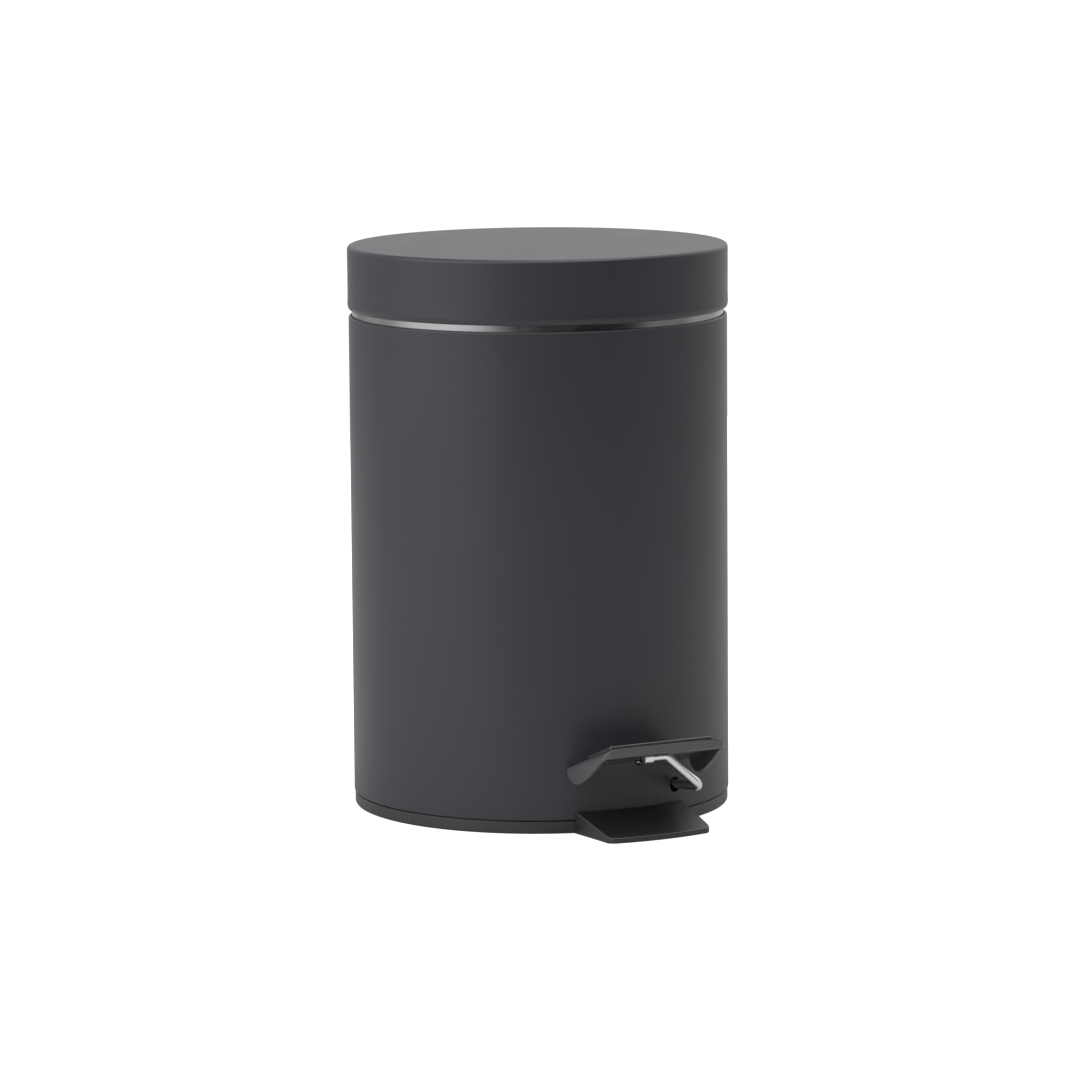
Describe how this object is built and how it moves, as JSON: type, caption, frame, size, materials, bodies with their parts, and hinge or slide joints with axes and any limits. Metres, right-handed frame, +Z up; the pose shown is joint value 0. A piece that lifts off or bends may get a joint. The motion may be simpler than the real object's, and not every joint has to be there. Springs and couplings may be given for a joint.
{
  "type": "pedal trash can",
  "caption": "Round step bin: painted steel tube on a plastic base, hinged lid lifted by a foot pedal through a wire lever and push rod, with a lift-out bucket.",
  "frame": {"origin": "on the bin's axis at floor level, at the middle of the flat hub under the base", "axes": "+Z up; -Y towards the pedal; +Y towards the lid's hinge; +X to the right of someone who faces the pedal"},
  "size_m": [0.1698, 0.2095, 0.252],
  "materials": {
    "charcoal_paint": "semi-gloss",
    "charcoal_plastic": "fine matte",
    "black_plastic": "fine matte",
    "grey_plastic": "satin",
    "black_rubber": "matte",
    "tread_rubber": "matte",
    "bright_steel": "polished",
    "zinc_steel": "zinc plated",
    "blacked_steel": "satin"
  },
  "bodies": {
    "casing": {"outer_body": "charcoal_paint", "neck_ring": "bright_steel", "base_plate": "charcoal_plastic", "foot_pad_1": "black_rubber", "foot_pad_2": "black_rubber", "foot_pad_3": "black_rubber", "foot_pad_4": "black_rubber", "bearing_cap_left": "black_plastic", "bearing_cap_right": "black_plastic", "bearing_screw_left": "zinc_steel", "bearing_screw_right": "zinc_steel", "hinge_bracket": "charcoal_paint", "hinge_pin": "zinc_steel", "rod_guide": "black_plastic", "bracket_screw_left": "zinc_steel", "bracket_screw_right": "zinc_steel"},
    "lid": {"lid_shell": "charcoal_paint", "lid_liner": "black_plastic", "lid_arm": "zinc_steel", "lid_screw_left": "zinc_steel", "lid_screw_right": "zinc_steel"},
    "pedal": {"pedal_rod": "bright_steel", "pedal_cover": "charcoal_plastic", "rod_clip": "bright_steel", "clip_screw": "blacked_steel", "pedal_tread": "tread_rubber"},
    "pusher": {"push_rod": "zinc_steel", "rod_yoke": "black_plastic", "rod_tip": "black_plastic"},
    "bucket": {"inner_bucket": "grey_plastic"},
    "bail": {"bail_handle": "zinc_steel", "bail_grip": "black_plastic"}
  },
  "joints": [
    {"name": "lid_hinge", "type": "hinge", "parent": "casing", "child": "lid", "pos_m": [0, 0.091, 0.222], "axis": [-1, 0, 0], "range_deg": [0, 80]},
    {"name": "pedal_hinge", "type": "hinge", "parent": "casing", "child": "pedal", "pos_m": [0, -0.072, 0.01685], "axis": [1, 0, 0], "range_deg": [0, 8.2]},
    {"name": "push_rod_slide", "type": "slide", "parent": "casing", "child": "pusher", "axis": [0, 0, 1], "range_m": [0, 0.0213]},
    {"name": "bucket_lift", "type": "slide", "parent": "casing", "child": "bucket", "axis": [0, 0, 1], "range_m": [0, 0.005]},
    {"name": "bail_hinge", "type": "hinge", "parent": "bucket", "child": "bail", "pos_m": [0, 0, 0.2298], "axis": [-1, 0, 0], "range_deg": [0, 7]}
  ],
  "couplings": [
    {"joint": "pedal_hinge", "follows": "lid_hinge", "ratio": 0.10212},
    {"joint": "push_rod_slide", "follows": "lid_hinge", "m_per_rad": 0.01519}
  ]
}
